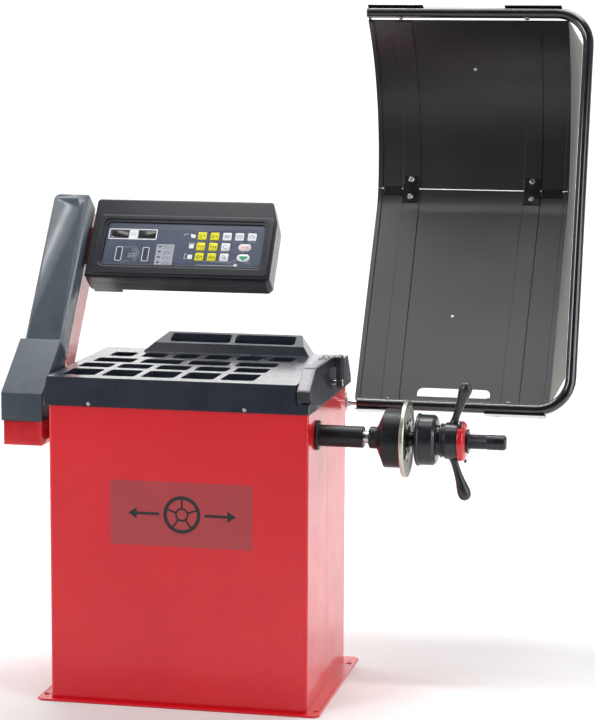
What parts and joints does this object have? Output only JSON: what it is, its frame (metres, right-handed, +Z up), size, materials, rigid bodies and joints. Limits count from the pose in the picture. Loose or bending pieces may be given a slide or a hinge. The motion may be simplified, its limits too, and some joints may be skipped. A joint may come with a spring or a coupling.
{
  "type": "wheel balancer",
  "caption": "Wheel balancing machine with a cabinet, pocketed weight tray, a tilted key console on a side arm, a threaded wheel spindle with a quick nut, a distance gauge and a swing-over hood.",
  "frame": {"origin": "on the floor, at the centre of the four anchor holes", "axes": "+X along the wheel spindle towards its free end, +Y to the machine's back, +Z up"},
  "size_m": [1.35, 1.0227, 1.6904],
  "materials": {
    "red_paint": "glossy powder coat",
    "fastener_steel": "zinc plated",
    "tray_plastic": "fine grained",
    "black_plastic": "satin",
    "side_panel_grey": "satin",
    "frame_steel": "satin",
    "cast_black": "black oxide",
    "bearing_steel": "ground",
    "shaft_steel": "oiled, thread rolled",
    "disc_steel": "turned",
    "motor_iron": "satin",
    "belt_rubber": "matte",
    "board_green": "lacquered",
    "black_coat": "satin powder coat",
    "handle_black": "moulded",
    "red_plastic": "moulded",
    "overlay_blue": "printed film",
    "display_dark": "smoked window",
    "key_yellow": "printed film",
    "key_white": "printed film",
    "hood_plastic": "thermoformed, patterned"
  },
  "bodies": {
    "machine": {"base_plate": "red_paint", "front_cover": "red_paint", "rear_cover": "red_paint", "panel_screws": "fastener_steel", "tray": "tray_plastic", "inner_frame": "frame_steel", "spindle_housing": "cast_black", "spindle_bearings": "bearing_steel", "piezo_sensors": "bearing_steel", "encoder_sensor": "black_plastic", "motor": "motor_iron", "drive_belt": "belt_rubber", "power_board": "board_green", "power_inlet": "black_plastic", "arm_column": "red_paint", "arm_cover": "black_plastic", "console_front": "black_plastic", "console_back": "black_plastic", "overlay_panel": "overlay_blue", "display_windows": "display_dark", "control_board": "board_green", "hood_bearing": "red_paint", "gauge_guides": "frame_steel"},
    "spindle": {"main_spindle": "bearing_steel", "threaded_shaft": "shaft_steel", "hub": "cast_black", "flange_disc": "disc_steel", "flange_screws": "fastener_steel", "centring_spring": "bearing_steel", "shaft_pulley": "bearing_steel", "encoder_disc": "bearing_steel"},
    "motor_rotor": {"motor_pulley": "bearing_steel"},
    "cup": {"pressure_cup": "black_coat"},
    "nut": {"nut_body": "black_coat", "nut_handles": "handle_black"},
    "release": {"release_ring": "red_plastic", "release_lever": "black_plastic"},
    "hood": {"hood_frame": "black_coat", "hood_shell_upper": "hood_plastic", "hood_shell_lower": "hood_plastic", "hood_side_panel": "side_panel_grey", "hood_plates": "black_coat", "hood_bolts": "fastener_steel", "hood_spindle": "bearing_steel"},
    "gauge_carriage": {"gauge_rod": "bearing_steel"},
    "gauge": {"gauge_arm": "handle_black"},
    "rocker": {"power_switch": "black_plastic"},
    "distance_down_key_body": {"distance_down_key": "key_yellow"},
    "distance_up_key_body": {"distance_up_key": "key_yellow"},
    "width_down_key_body": {"width_down_key": "key_yellow"},
    "width_up_key_body": {"width_up_key": "key_yellow"},
    "diameter_down_key_body": {"diameter_down_key": "key_yellow"},
    "diameter_up_key_body": {"diameter_up_key": "key_yellow"},
    "alloy_mode_key_body": {"alloy_mode_key": "key_white"},
    "fine_reading_key_body": {"fine_reading_key": "key_white"},
    "unbalance_key_body": {"unbalance_key": "key_white"},
    "calibrate_key_body": {"calibrate_key": "key_white"},
    "units_key_body": {"units_key": "key_white"},
    "stop_key_body": {"stop_key": "key_white"},
    "start_key_body": {"start_key": "key_white"}
  },
  "joints": [
    {"name": "spindle_spin", "type": "hinge", "parent": "machine", "child": "spindle", "pos_m": [0.4, -0.137, 0.665], "axis": [1, 0, 0], "continuous": true},
    {"name": "motor_spin", "type": "hinge", "parent": "machine", "child": "motor_rotor", "pos_m": [0.06, 0.058, 0.434], "axis": [1, 0, 0], "continuous": true},
    {"name": "nut_slide", "type": "slide", "parent": "spindle", "child": "cup", "axis": [1, 0, 0], "range_m": [-0.012, 0.085]},
    {"name": "nut_turn", "type": "hinge", "parent": "cup", "child": "nut", "pos_m": [0.645, -0.137, 0.665], "axis": [1, 0, 0], "continuous": true},
    {"name": "release_pull", "type": "slide", "parent": "nut", "child": "release", "axis": [1, 0, 0], "range_m": [0, 0.003], "stiffness_N_per_m": 1500, "springref_m": -0.003},
    {"name": "hood_swing", "type": "hinge", "parent": "machine", "child": "hood", "pos_m": [0.6, 0.262, 0.68], "axis": [1, 0, 0], "range_deg": [0, 90]},
    {"name": "gauge_slide", "type": "slide", "parent": "machine", "child": "gauge_carriage", "axis": [1, 0, 0], "range_m": [0, 0.16]},
    {"name": "gauge_swing", "type": "hinge", "parent": "gauge_carriage", "child": "gauge", "pos_m": [0.335, 0.07, 0.762], "axis": [1, 0, 0], "range_deg": [-45, 0]},
    {"name": "rocker_tilt", "type": "hinge", "parent": "machine", "child": "rocker", "pos_m": [-0.23, 0.238, 0.35], "axis": [1, 0, 0], "range_deg": [0, 12]},
    {"name": "distance_down_press", "type": "slide", "parent": "machine", "child": "distance_down_key_body", "axis": [0, 0.809, -0.5878], "range_m": [0, 0.0008], "stiffness_N_per_m": 200, "springref_m": -0.0012},
    {"name": "distance_up_press", "type": "slide", "parent": "machine", "child": "distance_up_key_body", "axis": [0, 0.809, -0.5878], "range_m": [0, 0.0008], "stiffness_N_per_m": 200, "springref_m": -0.0012},
    {"name": "width_down_press", "type": "slide", "parent": "machine", "child": "width_down_key_body", "axis": [0, 0.809, -0.5878], "range_m": [0, 0.0008], "stiffness_N_per_m": 200, "springref_m": -0.0012},
    {"name": "width_up_press", "type": "slide", "parent": "machine", "child": "width_up_key_body", "axis": [0, 0.809, -0.5878], "range_m": [0, 0.0008], "stiffness_N_per_m": 200, "springref_m": -0.0012},
    {"name": "diameter_down_press", "type": "slide", "parent": "machine", "child": "diameter_down_key_body", "axis": [0, 0.809, -0.5878], "range_m": [0, 0.0008], "stiffness_N_per_m": 200, "springref_m": -0.0012},
    {"name": "diameter_up_press", "type": "slide", "parent": "machine", "child": "diameter_up_key_body", "axis": [0, 0.809, -0.5878], "range_m": [0, 0.0008], "stiffness_N_per_m": 200, "springref_m": -0.0012},
    {"name": "alloy_mode_press", "type": "slide", "parent": "machine", "child": "alloy_mode_key_body", "axis": [0, 0.809, -0.5878], "range_m": [0, 0.0008], "stiffness_N_per_m": 200, "springref_m": -0.0012},
    {"name": "fine_reading_press", "type": "slide", "parent": "machine", "child": "fine_reading_key_body", "axis": [0, 0.809, -0.5878], "range_m": [0, 0.0008], "stiffness_N_per_m": 200, "springref_m": -0.0012},
    {"name": "unbalance_press", "type": "slide", "parent": "machine", "child": "unbalance_key_body", "axis": [0, 0.809, -0.5878], "range_m": [0, 0.0008], "stiffness_N_per_m": 200, "springref_m": -0.0012},
    {"name": "calibrate_press", "type": "slide", "parent": "machine", "child": "calibrate_key_body", "axis": [0, 0.809, -0.5878], "range_m": [0, 0.0008], "stiffness_N_per_m": 200, "springref_m": -0.0012},
    {"name": "units_press", "type": "slide", "parent": "machine", "child": "units_key_body", "axis": [0, 0.809, -0.5878], "range_m": [0, 0.0008], "stiffness_N_per_m": 200, "springref_m": -0.0012},
    {"name": "stop_press", "type": "slide", "parent": "machine", "child": "stop_key_body", "axis": [0, 0.809, -0.5878], "range_m": [0, 0.0008], "stiffness_N_per_m": 200, "springref_m": -0.0012},
    {"name": "start_press", "type": "slide", "parent": "machine", "child": "start_key_body", "axis": [0, 0.809, -0.5878], "range_m": [0, 0.0008], "stiffness_N_per_m": 200, "springref_m": -0.0012}
  ],
  "couplings": [
    {"joint": "motor_spin", "follows": "spindle_spin", "ratio": 3.75}
  ]
}
